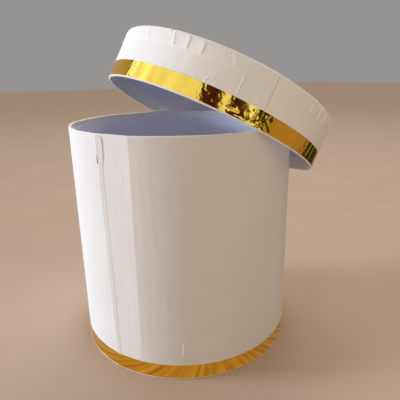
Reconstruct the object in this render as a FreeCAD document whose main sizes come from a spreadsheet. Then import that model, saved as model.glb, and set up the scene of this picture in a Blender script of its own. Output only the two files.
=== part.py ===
"""Round hat box with a telescoping lid, in paper-covered board with gilt foil tape round both open edges.

Each wall is a strip of greyboard rolled into a tube, butted at its ends and taped inside. The base board lies inside
the tube's foot, and the lid's board lies on top of its skirt. Gummed tape joins boards to tubes in the inside corners.
Cover paper wraps each wall, turns in over the open edge and under the foot, and lining paper hides the turn-ins.
The lid leans on the box: the underside of its top rests on the far rim and its skirt hangs over that side.

Units are millimetres. The origin is on the floor at the middle of the base, +Z is up, and the lid leans towards +X.
"""

import FreeCAD, Part

import math
import os
import re

import Sketcher

SIZES = {
    # the box
    "body_radius": 90.0,  # outside of the covered wall
    "body_height": 185.0,  # floor to rim
    # the lid, in its own frame: rim at height 0, top upwards
    "lid_radius": 93.15,  # outside of the covered skirt
    "lid_height": 39.5,  # rim to top
    # sheet stock
    "board": 1.6,
    "paper": 0.25,
    "gummed_tape": 0.1,
    "foil": 0.12,
    # cover paper folded round the edges
    "rim_turn_in": 15.0,
    "base_turn_in": 16.0,
    "base_margin": 4.0,  # bare ring between the base paper and the edge
    "tab_length": 10.0,  # top paper turned down over the skirt
    "tab_notch": 1.8,  # width of the gap between two tabs at the edge
    # lining paper, each set back from the open edge
    "body_lining_set_back": 5.0,
    "lid_lining_set_back": 9.0,
    # gummed tape
    "corner_leg": 9.0,  # each way from an inside corner
    "seam_tape_width": 24.0,
    # foil tape
    "foil_width": 12.0,
    "foil_set_back": 0.9,  # above the edge it trims
    "foil_overlap": 7.0,
    # how the lid leans
    "lean": 28.6,  # degrees from level
    "rest_gap": 0.4,  # clearance at the points of rest
}

TAB_COUNT = 48
TAB_AZIMUTH = 1.5  # degrees that the first notch is turned by
BOARD_SEAM_GAP = 0.3  # between the ends of a rolled board, along the wall
BODY_SEAM_AZIMUTH = 213.0  # degrees about +Z, from +X
BASE_FOIL_SEAM_AZIMUTH = 206.2
LID_SEAM_AZIMUTH = 251.3  # about the lid's own axis
LID_FOIL_SEAM_AZIMUTH = 288.5

doc = FreeCAD.newDocument("hat_box")
sheet = doc.addObject("Spreadsheet::Sheet", "Sizes")
for row, (alias, value) in enumerate(SIZES.items(), start=1):
    sheet.set(f"A{row}", alias)
    sheet.set(f"B{row}", str(value))
    sheet.setAlias(f"B{row}", alias)
doc.recompute()

bodies = []  # every body, in the order it is made
sub_parts = []  # what is written out: bodies, and cuts between bodies


def measure(formula):
    """The number that a sum of aliases stands for, such as "body_radius - paper"."""
    total, sign = 0.0, 1
    for word in formula.split():
        if word in ("+", "-"):
            sign = 1 if word == "+" else -1
        else:
            total += sign * SIZES[word]
    return total


def bound(formula):
    """The same sum as an expression on the sheet's cells."""
    return re.sub(r"[a-z_]+", lambda alias: "Sizes." + alias[0], formula)


def origin_plane(body, role):
    return next(o for o in body.Origin.OriginFeatures if o.Role == role)


def new_body(label):
    body = doc.addObject("PartDesign::Body", label + "_body")
    body.Label = label
    bodies.append(body)
    sub_parts.append(body)
    return body


def section(body, name, corners):
    """A closed outline in the XZ plane. Each corner is (radius, height), both sums of aliases or None for zero."""
    sketch = body.newObject("Sketcher::SketchObject", name)
    sketch.AttachmentSupport = (origin_plane(body, "XZ_Plane"), [""])
    sketch.MapMode = "FlatFace"
    points = [
        FreeCAD.Vector(*(measure(side) if side else 0.0 for side in corner), 0)
        for corner in corners
    ]
    for start, end in zip(points, points[1:] + points[:1]):
        sketch.addGeometry(Part.LineSegment(start, end), False)
    for line in range(len(points)):
        previous = (line - 1) % len(points)
        sketch.addConstraint(
            Sketcher.Constraint("Coincident", previous, 2, line, 1)
        )
    kinds = (("DistanceX", -2), ("DistanceY", -1))
    for line, (corner, point) in enumerate(zip(corners, points)):
        for side, at, (kind, axis) in zip(corner, point[:2], kinds):
            if side is None:
                sketch.addConstraint(
                    Sketcher.Constraint("PointOnObject", line, 1, axis)
                )
                continue
            rule = sketch.addConstraint(
                Sketcher.Constraint(kind, -1, 1, line, 1, at)
            )
            sketch.setExpression(f"Constraints[{rule}]", bound(side))
    return sketch


def revolve(body, name, corners, angle=None):
    """Turns a section about Z, the whole way round or through the angle that an expression gives."""
    feature = body.newObject("PartDesign::Revolution", name)
    feature.Profile = section(body, name + "_section", corners)
    feature.ReferenceAxis = (feature.Profile[0], ["V_Axis"])
    feature.Angle = 360.0
    if angle:
        feature.setExpression("Angle", angle)
    feature.Profile[0].Visibility = False
    return feature


def turned(degrees):
    return FreeCAD.Placement(
        FreeCAD.Vector(), FreeCAD.Rotation(FreeCAD.Vector(0, 0, 1), degrees)
    )


def arc_angle(length, radius):
    """The angle, as an expression in degrees, that an arc of that length takes at that radius."""
    return f"({length}) / ({radius}) * 180 / pi"


def rectangle(inner, outer, low, high):
    return [(inner, low), (outer, low), (outer, high), (inner, high)]


def without(label, base, *tools):
    """base with the space of the tools taken out, as one labelled sub-part."""
    sub_parts.remove(base)
    for number, tool in enumerate(tools, start=1):
        cut = doc.addObject("Part::Cut", f"{label}_cut_{number}")
        cut.Base = base
        cut.Tool = tool
        base.Label = f"{label}_before_cut_{number}"
        base = cut
    base.Label = label
    sub_parts.append(base)
    return base


# Radii and heights that several sub-parts share, as sums of aliases.
BODY_BOARD_OUT = "body_radius - paper"
BODY_BOARD_IN = "body_radius - paper - board"
BODY_TURN_IN = "body_radius - paper - board - paper"
BODY_LINING_IN = "body_radius - paper - board - paper - paper"
BODY_FOOT = "paper + paper"  # underside of the boards, above two papers
BASE_TOP = "paper + paper + board"
BODY_RIM_BOARD = "body_height - paper"

LID_BOARD_OUT = "lid_radius - paper"
LID_BOARD_IN = "lid_radius - paper - board"
LID_TURN_IN = "lid_radius - paper - board - paper"
LID_LINING_IN = "lid_radius - paper - board - paper - paper"
LID_CEILING = "lid_height - paper - board"
LID_TAB_END = "lid_height - tab_length"


def rolled_board(label, inner, outer, low, high, azimuth):
    """A strip of board rolled into a tube whose ends butt at the azimuth."""
    body = new_body(label)
    gap = arc_angle(str(BOARD_SEAM_GAP), bound(outer))
    revolve(
        body, label + "_wall", rectangle(inner, outer, low, high), f"360 - {gap}"
    )
    body.Placement = turned(azimuth)
    return body


def disc(label, radius, low, high):
    body = new_body(label)
    revolve(body, label + "_disc", rectangle(None, radius, low, high))
    return body


def corner_tape(label, radius, level, into):
    """Gummed tape in the corner of a wall and a board; into is "+" where the box is above the board, "-" below."""
    body = new_body(label)
    leg = f"{level} {into} corner_leg"
    face = f"{level} {into} gummed_tape"
    revolve(
        body,
        label + "_fold",
        [
            (f"{radius} - corner_leg", level),
            (radius, level),
            (radius, leg),
            (f"{radius} - gummed_tape", leg),
            (f"{radius} - gummed_tape", face),
            (f"{radius} - corner_leg", face),
        ],
    )
    return body


def seam_tape(label, radius, low, high, azimuth):
    """A gummed strip over the inside of a wall's butt seam."""
    body = new_body(label)
    half = arc_angle(bound("seam_tape_width") + " / 2", bound(radius))
    feature = revolve(
        body,
        label + "_strip",
        rectangle(f"{radius} - gummed_tape", radius, low, high),
        f"2 * ({half})",
    )
    feature.Midplane = True
    body.Placement = turned(azimuth)
    return body


def foil_band(label, radius, azimuth):
    """Foil tape round a wall just above its edge, its end lapped over its start."""
    body = new_body(label)
    low, high = "foil_set_back", "foil_set_back + foil_width"
    revolve(
        body, label + "_turn", rectangle(radius, f"{radius} + foil", low, high)
    )
    revolve(
        body,
        label + "_overlap",
        rectangle(f"{radius} + foil", f"{radius} + foil + foil", low, high),
        arc_angle(bound("foil_overlap"), bound(radius)),
    )
    body.Placement = turned(azimuth)
    return body


def make_body_boards():
    rolled_board(
        "body_wall_board",
        BODY_BOARD_IN,
        BODY_BOARD_OUT,
        BODY_FOOT,
        BODY_RIM_BOARD,
        BODY_SEAM_AZIMUTH,
    )
    disc("base_board", BODY_BOARD_IN, BODY_FOOT, BASE_TOP)


def make_body_papers():
    cover = new_body("body_cover_paper")
    revolve(
        cover,
        "body_cover_wrap",
        [
            ("body_radius - base_turn_in", "paper"),
            ("body_radius", "paper"),
            ("body_radius", "body_height"),
            (BODY_TURN_IN, "body_height"),
            (BODY_TURN_IN, "body_height - rim_turn_in"),
            (BODY_BOARD_IN, "body_height - rim_turn_in"),
            (BODY_BOARD_IN, BODY_RIM_BOARD),
            (BODY_BOARD_OUT, BODY_RIM_BOARD),
            (BODY_BOARD_OUT, BODY_FOOT),
            ("body_radius - base_turn_in", BODY_FOOT),
        ],
    )
    base = new_body("base_cover_paper")
    step_in = "body_radius - base_turn_in - paper"
    revolve(
        base,
        "base_cover_disc",
        [
            (None, "paper"),
            (step_in, "paper"),
            (step_in, None),
            ("body_radius - base_margin", None),
            ("body_radius - base_margin", "paper"),
            ("body_radius - base_turn_in", "paper"),
            ("body_radius - base_turn_in", BODY_FOOT),
            (None, BODY_FOOT),
        ],
    )
    seam = seam_tape(
        "body_seam_tape",
        BODY_BOARD_IN,
        f"{BASE_TOP} + corner_leg",
        "body_height - rim_turn_in",
        BODY_SEAM_AZIMUTH,
    )
    corner = corner_tape("base_joint_tape", BODY_BOARD_IN, BASE_TOP, "+")
    lining = new_body("body_lining_paper")
    top = "body_height - body_lining_set_back"
    fold = "body_height - rim_turn_in"
    revolve(
        lining,
        "body_lining_wall",
        [
            (BODY_TURN_IN, BASE_TOP),
            (BODY_BOARD_IN, BASE_TOP),
            (BODY_BOARD_IN, fold),
            (BODY_TURN_IN, fold),
            (BODY_TURN_IN, top),
            (BODY_LINING_IN, top),
            (BODY_LINING_IN, f"{fold} - paper"),
            (BODY_TURN_IN, f"{fold} - paper"),
        ],
    )
    without("body_lining_paper", lining, seam, corner)
    floor = disc("base_lining_paper", BODY_LINING_IN, BASE_TOP, f"{BASE_TOP} + paper")
    without("base_lining_paper", floor, corner)


def make_lid_boards():
    rolled_board(
        "lid_skirt_board",
        LID_BOARD_IN,
        LID_BOARD_OUT,
        "paper",
        LID_CEILING,
        LID_SEAM_AZIMUTH,
    )
    disc("lid_top_board", LID_BOARD_OUT, LID_CEILING, "lid_height - paper")


def make_lid_top_paper():
    """The disc of paper over the lid's top, its edge cut into tabs that are turned down over the skirt."""
    body = new_body("lid_top_cover_paper")
    revolve(
        body,
        "lid_top_cover_fold",
        [
            (None, "lid_height - paper"),
            (LID_BOARD_OUT, "lid_height - paper"),
            (LID_BOARD_OUT, LID_TAB_END),
            ("lid_radius", LID_TAB_END),
            ("lid_radius", "lid_height"),
            (None, "lid_height"),
        ],
    )
    notch = body.newObject("Sketcher::SketchObject", "tab_notch_outline")
    notch.AttachmentSupport = (origin_plane(body, "XZ_Plane"), [""])
    notch.MapMode = "FlatFace"
    half = measure("tab_notch") / 2
    low, high = measure(LID_TAB_END), measure("lid_height - paper")
    corners = [
        FreeCAD.Vector(-half, low, 0),
        FreeCAD.Vector(half, low, 0),
        FreeCAD.Vector(0, high, 0),
    ]
    for start, end in zip(corners, corners[1:] + corners[:1]):
        notch.addGeometry(Part.LineSegment(start, end), False)
    for line in range(3):
        notch.addConstraint(
            Sketcher.Constraint("Coincident", (line - 1) % 3, 2, line, 1)
        )
    notch.addConstraint(Sketcher.Constraint("Symmetric", 0, 1, 0, 2, -2))
    notch.addConstraint(Sketcher.Constraint("PointOnObject", 2, 1, -2))
    for kind, line, at, size in (
        ("DistanceX", 0, 2, "tab_notch"),
        ("DistanceY", 0, 2, LID_TAB_END),
        ("DistanceY", 2, 1, "lid_height - paper"),
    ):
        value = measure(size) / (2 if kind == "DistanceX" else 1)
        rule = notch.addConstraint(Sketcher.Constraint(kind, -1, 1, line, at, value))
        halved = bound(size) + (" / 2" if kind == "DistanceX" else "")
        notch.setExpression(f"Constraints[{rule}]", halved)
    notch.Visibility = False
    doc.recompute()
    whole = body.Shape.Volume
    pocket = body.newObject("PartDesign::Pocket", "tab_notch_cut")
    pocket.Profile = notch
    pocket.Type = "ThroughAll"
    pocket.Reversed = True
    doc.recompute()
    if not body.Shape.Volume < whole:
        raise RuntimeError("the notch between two tabs cuts nothing")
    pattern = body.newObject("PartDesign::PolarPattern", "tab_notches")
    pattern.Originals = [pocket]
    pattern.Axis = (notch, ["V_Axis"])
    pattern.Angle = 360.0
    pattern.Occurrences = TAB_COUNT
    body.Tip = pattern
    body.Placement = turned(TAB_AZIMUTH)


def make_lid_papers():
    make_lid_top_paper()
    side = new_body("lid_side_cover_paper")
    step = f"{LID_TAB_END} - paper"
    revolve(
        side,
        "lid_side_cover_wrap",
        [
            (LID_TURN_IN, None),
            ("lid_radius", None),
            ("lid_radius", step),
            ("lid_radius + paper", step),
            ("lid_radius + paper", "lid_height"),
            ("lid_radius", "lid_height"),
            ("lid_radius", LID_TAB_END),
            (LID_BOARD_OUT, LID_TAB_END),
            (LID_BOARD_OUT, "paper"),
            (LID_BOARD_IN, "paper"),
            (LID_BOARD_IN, "rim_turn_in"),
            (LID_TURN_IN, "rim_turn_in"),
        ],
    )
    seam = seam_tape(
        "lid_seam_tape",
        LID_BOARD_IN,
        "rim_turn_in",
        f"{LID_CEILING} - corner_leg",
        LID_SEAM_AZIMUTH,
    )
    corner = corner_tape("lid_joint_tape", LID_BOARD_IN, LID_CEILING, "-")
    lining = new_body("lid_skirt_lining_paper")
    revolve(
        lining,
        "lid_skirt_lining_wall",
        [
            (LID_LINING_IN, "lid_lining_set_back"),
            (LID_TURN_IN, "lid_lining_set_back"),
            (LID_TURN_IN, "rim_turn_in"),
            (LID_BOARD_IN, "rim_turn_in"),
            (LID_BOARD_IN, LID_CEILING),
            (LID_TURN_IN, LID_CEILING),
            (LID_TURN_IN, "rim_turn_in + paper"),
            (LID_LINING_IN, "rim_turn_in + paper"),
        ],
    )
    without("lid_skirt_lining_paper", lining, seam, corner)
    ceiling = disc(
        "lid_top_lining_paper",
        LID_LINING_IN,
        f"{LID_CEILING} - paper",
        LID_CEILING,
    )
    without("lid_top_lining_paper", ceiling, corner)


def leaning_placement():
    """Where the lid comes to rest.

    Its ceiling touches the outer edge of the rim at +X. The inner edge of its own rim touches the outer edge of the
    box's rim at two points, one each side, where its open face cuts the level of the rim.
    """
    lean = math.radians(SIZES["lean"])
    gap = SIZES["rest_gap"]
    wall = SIZES["body_radius"]
    rim = SIZES["body_height"]
    inside = measure(LID_CEILING + " - paper") - gap
    edge = measure(LID_TURN_IN)
    crossing = wall - inside / math.sin(lean)
    half_chord_squared = (wall + gap) ** 2 - crossing**2
    back = math.sqrt(edge**2 - half_chord_squared)
    centre = FreeCAD.Vector(
        crossing + back * math.cos(lean), 0, rim - back * math.sin(lean)
    )
    return FreeCAD.Placement(
        centre, FreeCAD.Rotation(FreeCAD.Vector(0, 1, 0), SIZES["lean"])
    )


def failed(thing):
    return any(word in thing.State for word in ("Invalid", "Error"))


make_body_boards()
make_body_papers()
foil_band("base_foil_band", "body_radius", BASE_FOIL_SEAM_AZIMUTH)
box_body_count = len(bodies)
make_lid_boards()
make_lid_papers()
foil_band("lid_foil_band", "lid_radius", LID_FOIL_SEAM_AZIMUTH)
doc.recompute()

resting = leaning_placement()
for body in bodies[box_body_count:]:
    body.Placement = resting * body.Placement
doc.recompute()

for thing in doc.Objects:
    if failed(thing):
        raise RuntimeError(f"{thing.Label} failed: {thing.State}")
os.makedirs("parts", exist_ok=True)
for part in sub_parts:
    if part.Shape.isNull() or not part.Shape.isValid():
        raise RuntimeError(f"{part.Label} has no valid shape")
    part.Shape.exportStep(f"parts/{part.Label}.step")
    print(f"{part.Label}: {part.Shape.Volume:.0f} mm3, {len(part.Shape.Solids)} solid")
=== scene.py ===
"""Looks of the round hat box: papers, foils and boards built round the CAD frame, with creases and laps.

Lengths in the making functions are millimetres. Azimuths are degrees about the axis of the box or the lid,
from that body's own +X. Meshes are scaled to metres as they are made.
"""

import math

import bmesh
import bpy
import numpy as np
from mathutils import Matrix, Vector


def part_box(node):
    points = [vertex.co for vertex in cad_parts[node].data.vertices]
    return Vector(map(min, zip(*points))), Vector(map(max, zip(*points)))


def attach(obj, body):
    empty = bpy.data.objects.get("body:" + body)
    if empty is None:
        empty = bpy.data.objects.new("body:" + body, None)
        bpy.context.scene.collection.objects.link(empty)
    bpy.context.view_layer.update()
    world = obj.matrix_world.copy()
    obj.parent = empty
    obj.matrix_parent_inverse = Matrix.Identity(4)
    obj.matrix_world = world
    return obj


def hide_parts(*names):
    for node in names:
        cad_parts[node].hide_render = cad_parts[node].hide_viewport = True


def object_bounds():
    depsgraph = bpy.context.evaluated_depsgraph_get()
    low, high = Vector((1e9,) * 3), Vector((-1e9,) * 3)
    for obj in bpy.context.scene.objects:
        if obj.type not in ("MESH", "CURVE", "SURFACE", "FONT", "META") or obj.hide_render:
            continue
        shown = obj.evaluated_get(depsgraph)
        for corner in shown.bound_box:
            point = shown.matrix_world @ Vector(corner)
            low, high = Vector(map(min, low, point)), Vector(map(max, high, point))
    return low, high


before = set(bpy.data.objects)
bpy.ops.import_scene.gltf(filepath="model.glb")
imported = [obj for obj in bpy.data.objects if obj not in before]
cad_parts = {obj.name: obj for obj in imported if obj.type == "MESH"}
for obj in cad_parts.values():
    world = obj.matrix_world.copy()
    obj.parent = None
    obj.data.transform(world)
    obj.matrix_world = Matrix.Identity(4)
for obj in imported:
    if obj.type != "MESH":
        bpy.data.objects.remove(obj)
CAD_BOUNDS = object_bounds()

MM = 0.001


def size_mm(node):
    """(lowest corner, highest corner) of a CAD node in millimetres."""
    return [np.array(corner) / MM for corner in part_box(node)]


def lid_axis():
    """The lid's axis at rest, upwards: the way that the large flat faces of its top board point."""
    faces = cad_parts["lid_top_board"].data.polygons
    normal = max(faces, key=lambda face: face.area).normal.copy()
    return normal if normal.z > 0 else -normal


# Sheet stock, as in the CAD.
BOARD = 1.6
PAPER = 0.25
TAPE = 0.1
FOIL = 0.12

# The box, from its CAD nodes.
BODY_RADIUS = size_mm("body_cover_paper")[1][1]
BODY_HEIGHT = size_mm("body_cover_paper")[1][2]
BODY_BOARD_OUT = BODY_RADIUS - PAPER
BODY_BOARD_IN = BODY_BOARD_OUT - BOARD
BODY_LINING_IN = BODY_BOARD_IN - 2 * PAPER
BODY_LINING_TOP = size_mm("body_lining_paper")[1][2]
BASE_TOP = size_mm("base_board")[1][2]
BASE_FOIL_LOW = size_mm("base_foil_band")[0][2]
BASE_FOIL_HIGH = size_mm("base_foil_band")[1][2]

# Margins of the box's sheets: the strip of paper below the foil, and three as in the CAD.
BASE_PAPER_SHOWN = 0.4
BASE_TURN_IN = 16.0
BASE_MARGIN = 4.0
RIM_TURN_IN = 15.0

# The lid, as in the CAD, in its own frame with the rim at height 0.
LID_AXIS = lid_axis()
LID_RADIUS = size_mm("lid_top_cover_paper")[1][1]
LID_HEIGHT = 39.5
LID_BOARD_OUT = LID_RADIUS - PAPER
LID_BOARD_IN = LID_BOARD_OUT - BOARD
LID_LINING_IN = LID_BOARD_IN - 2 * PAPER
LID_CEILING = LID_HEIGHT - PAPER - BOARD
LID_LINING_LOW = 9.0
TAB_LENGTH = 10.0
FOIL_WIDTH = BASE_FOIL_HIGH - BASE_FOIL_LOW
LID_FOIL_LOW = BASE_FOIL_LOW

# How far out the CAD model's box lets the sheets stand.
HALF_WIDTH = CAD_BOUNDS[1][1] / MM - 0.01
LEFT_REACH = -CAD_BOUNDS[0][0] / MM - 0.005

# The flat along the box's seam: edge azimuths at the foot, how much further out each is at the rim, how
# proud its corners are, over how many degrees that fades, and how the stiff foot keeps to a share of it.
FLAT_AT_FOOT = (206.5, 221.2)
FLAT_WIDENING = (1.7, 0.7)
CORNER_RISE = 0.25
CORNER_FADE = 4.0
FOOT_STIFFNESS = (8, 30)
FOOT_SHARE = 0.25

# Where the sheets start and end, and how high a lap stands.
LAP_RISE = 0.2
BODY_SEAM = 213.0
SEAM_TAPE_HALF = 7.7
SEAM_TAPE_LIFT = 9.0
BODY_LINING_LAP = (131.0, 138.0)
LID_LINING_LAP = (100, 106)
LID_LINING_NARROWEST = 88
BODY_LAP_WIDTH = 3.6
BASE_FOIL_SEAM = 206.2
LID_LAP = 258.2
LID_LAP_WIDTH = 12.0
LID_FOIL_END = 292.6
FOIL_OVERLAP = 7.0
TAB_COUNT = 48
TAB_AZIMUTH = 1.5


def lid_placement():
    """The lid's frame at rest: its rim's centre, X the way it leans down, Z its axis."""
    low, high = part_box("lid_skirt_board")
    middle = (low + high) / 2
    board_middle = (PAPER + LID_CEILING) / 2 * MM
    down = Vector((LID_AXIS.z, 0, -LID_AXIS.x))
    turn = Matrix((down, Vector((0, 1, 0)), LID_AXIS)).transposed().to_4x4()
    return Matrix.Translation(middle - LID_AXIS * board_middle) @ turn


PLACES = {"box": Matrix.Identity(4), "lid": lid_placement()}


# ---- shapes of creased sheets


def smooth(x):
    """0 below 0, 1 above 1, and a smooth step between."""
    x = np.clip(x, 0, 1)
    return x * x * (3 - 2 * x)


def ripple(azimuth, height, count, length, seed):
    """Smooth noise from -1 to 1: count cells round the axis and one for each length of height."""
    grid = np.random.RandomState(seed).uniform(-1, 1, (count, 97))
    x = (azimuth % 360) / 360 * count
    y = np.asarray(height) / length + 7.3
    x, y = np.broadcast_arrays(x, y)
    column, row = np.floor(x).astype(int), np.floor(y).astype(int)
    fx, fy = smooth(x - column), smooth(y - row)
    near, far = column % count, (column + 1) % count
    low, high = row % 97, (row + 1) % 97
    bottom = grid[near, low] * (1 - fx) + grid[far, low] * fx
    top = grid[near, high] * (1 - fx) + grid[far, high] * fx
    return bottom * (1 - fy) + top * fy


def turn_between(azimuth, other):
    """azimuth less other, from -180 to 180."""
    return (azimuth - other + 180) % 360 - 180


def ridge(azimuth, height, start, end, width, rise, radius, gentle=1.0):
    """A raised line across a wall from start to end, each (azimuth, height), tapering out at both ends.

    On the side of lower azimuths it is gentle times as wide.
    """
    arc = math.radians(1) * radius
    along_u = turn_between(end[0], start[0]) * arc
    along_v = end[1] - start[1]
    length = math.hypot(along_u, along_v)
    u = turn_between(azimuth, start[0]) * arc
    v = height - start[1]
    share = (u * along_u + v * along_v) / length**2
    across = (u * along_v - v * along_u) / length
    before = across * along_v < 0
    across = np.where(before, across / gentle, across)
    taper = smooth(share / 0.2) * smooth((1 - share) / 0.2)
    return rise * taper * np.exp(-((across / width) ** 2))


def band(azimuth, start, end, radius, edge=0.3):
    """1 between two azimuths and 0 outside, with an edge that wide in millimetres."""
    arc = math.radians(1) * radius
    inside = turn_between(azimuth, start) * arc / edge
    beyond = turn_between(end, azimuth) * arc / edge
    return smooth(inside + 0.5) * smooth(beyond + 0.5)


def flat_edges(height):
    """Azimuths of the two edges of the flat along the box's taped seam, which widens towards the rim."""
    share = np.asarray(height) / BODY_HEIGHT
    return FLAT_AT_FOOT[0] - FLAT_WIDENING[0] * share, FLAT_AT_FOOT[1] + FLAT_WIDENING[1] * share


def body_wall(azimuth, height):
    """How far the box's wall is from round: flat along the taped seam and proud beside it."""
    left, right = flat_edges(height)
    half = (right - left) / 2
    turn = turn_between(azimuth, (left + right) / 2)
    chord = (BODY_RADIUS + CORNER_RISE) * np.cos(np.radians(half))
    flat = chord / np.cos(np.radians(np.clip(turn, -30, 30))) - BODY_RADIUS
    beyond = np.maximum(np.abs(turn) - half, 0)
    wall = np.where(np.abs(turn) < half, flat, CORNER_RISE * np.exp(-beyond / CORNER_FADE))
    above_foot = smooth((np.asarray(height) - FOOT_STIFFNESS[0]) / FOOT_STIFFNESS[1])
    return wall * (FOOT_SHARE + (1 - FOOT_SHARE) * above_foot)


def lap(azimuth, edge, side, width, radius):
    """1 beside the cut edge of an overlapping sheet, fading out over a width on one side of it."""
    distance = side * turn_between(azimuth, edge) * math.radians(1) * radius
    return smooth(distance / 0.35 + 0.5) * smooth((width - distance) / (width - 1.5))


def edge_wrinkles(azimuth, height, levels, start, end, radius, seed):
    """Fine creases along an edge: at each level a line that wavers, comes and goes between two azimuths."""
    skin = 0
    window = band(azimuth, start, end, radius, 12)
    for number, level in enumerate(levels):
        line = level + 0.4 * ripple(azimuth, 0, 50, 1, seed + number)
        strength = 0.5 + 0.5 * ripple(azimuth, 0, 70, 1, seed + 20 + number)
        skin = skin + 0.16 * strength * np.exp(-(((height - line) / 0.4) ** 2))
    return skin * window


BODY_CREASES = [
    # start, end, half width, rise
    ((242.6, 33.0), (242.3, 18.5), 0.5, 0.45),
    ((266.0, 42.0), (266.2, 18.5), 0.5, 0.38),
    ((217.3, 168.0), (217.4, 150.0), 0.5, 0.12),
    ((215.9, 158.0), (216.2, 120.0), 0.5, 0.08),
    ((211.2, 150.0), (211.5, 60.0), 0.6, 0.07),
    ((218.5, 90.0), (218.7, 30.0), 0.6, 0.07),
]
TEAR_TOP = (204.6, 171.2)
TEAR_LOW = (205.1, 164.4)
RIM_WRINKLES = (183.3, 182.2, 180.9, 179.4)
BLISTER_LOW = 160
BLISTER_HIGH = 184.4
BLISTER_RISE = 0.3
BLISTER_WIDTH = 2.0


def body_skin(azimuth, height):
    """How far the box's cover paper stands off its board: lap, blister, glue ripples, tear and creases."""
    lap_edge, _ = flat_edges(height)
    past_edge = turn_between(azimuth, lap_edge) * math.radians(1) * BODY_RADIUS
    lifted = smooth((height - BLISTER_LOW) / 12) * smooth((BLISTER_HIGH - height) / 3)
    strip_end = BODY_LAP_WIDTH + BLISTER_WIDTH * lifted
    strip = smooth(past_edge / 0.4 + 0.5) * smooth((strip_end - past_edge) / 1.2 + 0.5)
    skin = (LAP_RISE + BLISTER_RISE * lifted) * strip
    skin = skin + 0.1 * np.exp(-((past_edge - 0.4) ** 2) / 0.1)
    skin = skin + 0.045 * ripple(azimuth, height, 150, 70, 11)
    skin = skin + 0.035 * ripple(azimuth, height, 60, 22, 12)
    skin = skin + 0.02 * ripple(azimuth, height, 190, 6, 18)
    for start, end, width, rise in BODY_CREASES:
        skin = skin + ridge(azimuth, height, start, end, width, rise, BODY_RADIUS)
    skin = skin - ridge(azimuth, height, TEAR_TOP, TEAR_LOW, 0.4, 0.6, BODY_RADIUS)
    skin = skin + 1.5 * edge_wrinkles(azimuth, height, RIM_WRINKLES, 165, 235, BODY_RADIUS, 71)
    skin = skin + 1.0 * edge_wrinkles(azimuth, height, RIM_WRINKLES, 235, 525, BODY_RADIUS, 171)
    return np.maximum(skin, -0.6)


LID_RIDGES = [
    # start, end, half width, rise, gentle
    ((180.0, 27.4), (187.5, 29.6), 0.6, 0.15, 1),
    ((195.4, 38.8), (197.6, 29.4), 0.6, 0.3, 4),
    ((208.0, 38.8), (210.4, 33.0), 0.6, 0.22, 1),
    ((210.6, 38.9), (212.8, 28.2), 0.6, 0.42, 3),
    ((218.3, 38.9), (218.8, 28.4), 0.6, 0.42, 4),
    ((225.2, 38.9), (225.6, 27.8), 0.6, 0.42, 5),
    ((237.8, 38.8), (240.4, 29.8), 0.7, 0.28, 2),
    ((244.4, 36.5), (244.8, 30.2), 0.9, 0.22, 0.4),
    ((244.8, 30.0), (244.8, 11.0), 0.9, 0.4, 0.4),
    ((253.4, 29.5), (254.6, 12.0), 1.0, 0.24, 0.5),
    ((252.0, 27.0), (252.4, 15.0), 0.9, 0.14, 0.5),
    ((256.0, 38.8), (256.0, 33.0), 0.9, 0.34, 0.4),
    ((266.0, 34.0), (266.2, 27.5), 0.9, 0.3, 0.4),
    ((272.0, 38.8), (272.4, 28.4), 0.9, 0.5, 0.4),
    ((280.4, 38.8), (280.4, 28.0), 0.8, 0.65, 0.4),
    ((287.2, 38.8), (288.0, 27.6), 0.8, 0.65, 0.4),
    ((294.2, 38.8), (293.2, 28.6), 0.8, 0.65, 0.4),
    ((232.6, 18.4), (230.6, 13.2), 0.6, 0.32, 1),
    ((234.9, 19.6), (232.6, 14.0), 0.6, 0.28, 1),
    ((236.4, 17.4), (235.0, 13.2), 0.5, 0.16, 1),
]


def lid_pleats(azimuth, height):
    """Folds of the turned-down tabs, felt through the side paper from the top edge to their ends."""
    chance = np.random.RandomState(31)
    rise = np.zeros(np.broadcast(azimuth, height).shape)
    for number in range(TAB_COUNT):
        middle = TAB_AZIMUTH + 360 / TAB_COUNT * number + chance.uniform(-0.8, 0.8)
        slant = chance.uniform(-1.6, 1.6)
        low = LID_HEIGHT - TAB_LENGTH + chance.uniform(-0.8, 1.2)
        fold = chance.uniform(0.05, 0.22)
        start, end = (middle, LID_HEIGHT - 0.4), (middle + slant, low)
        rise += ridge(azimuth, height, start, end, 0.55, fold, LID_RADIUS, 3)
    return rise


LID_WRINKLES = (37.2, 35.9, 34.7, 33.2)
TAB_RISE = 0.2
TAB_EDGE_RISE = 0.14


def lid_skin(azimuth, height):
    """How far the lid's side paper stands off its board."""
    skin = LAP_RISE * lap(azimuth, LID_LAP, -1, LID_LAP_WIDTH, LID_RADIUS)
    wander = 0.8 * ripple(azimuth, 0, 48, 10, 21)
    past_tabs = height - (LID_HEIGHT - TAB_LENGTH) - wander
    over_tabs = smooth(past_tabs / 0.6 + 0.5)
    skin = skin + TAB_RISE * over_tabs + TAB_EDGE_RISE * np.exp(-((past_tabs - 0.3) ** 2) / 0.2)
    skin = skin + 2.6 * edge_wrinkles(azimuth, height, LID_WRINKLES, 246, 305, LID_RADIUS, 81)
    skin = skin + 0.5 * edge_wrinkles(azimuth, height, LID_WRINKLES, 305, 606, LID_RADIUS, 181)
    skin = skin + 0.05 * ripple(azimuth, height, 110, 16, 22)
    skin = skin + 0.05 * over_tabs * ripple(azimuth, height, 90, 1.7, 23)
    skin = skin + lid_pleats(azimuth, height)
    for start, end, width, rise, gentle in LID_RIDGES:
        skin = skin + ridge(azimuth, height, start, end, width, rise, LID_RADIUS, gentle)
    puckers = smooth((height - LID_HEIGHT + 4.5) / 2) * smooth(ripple(azimuth, 0, 36, 1, 29) * 2 + 0.6)
    skin = skin + 0.1 * puckers * ripple(azimuth, height, 420, 1.6, 30)
    at_widest = np.exp(-((turn_between(2 * azimuth, 180) / 14) ** 2))
    return skin * (1 - 0.45 * at_widest)


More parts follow.
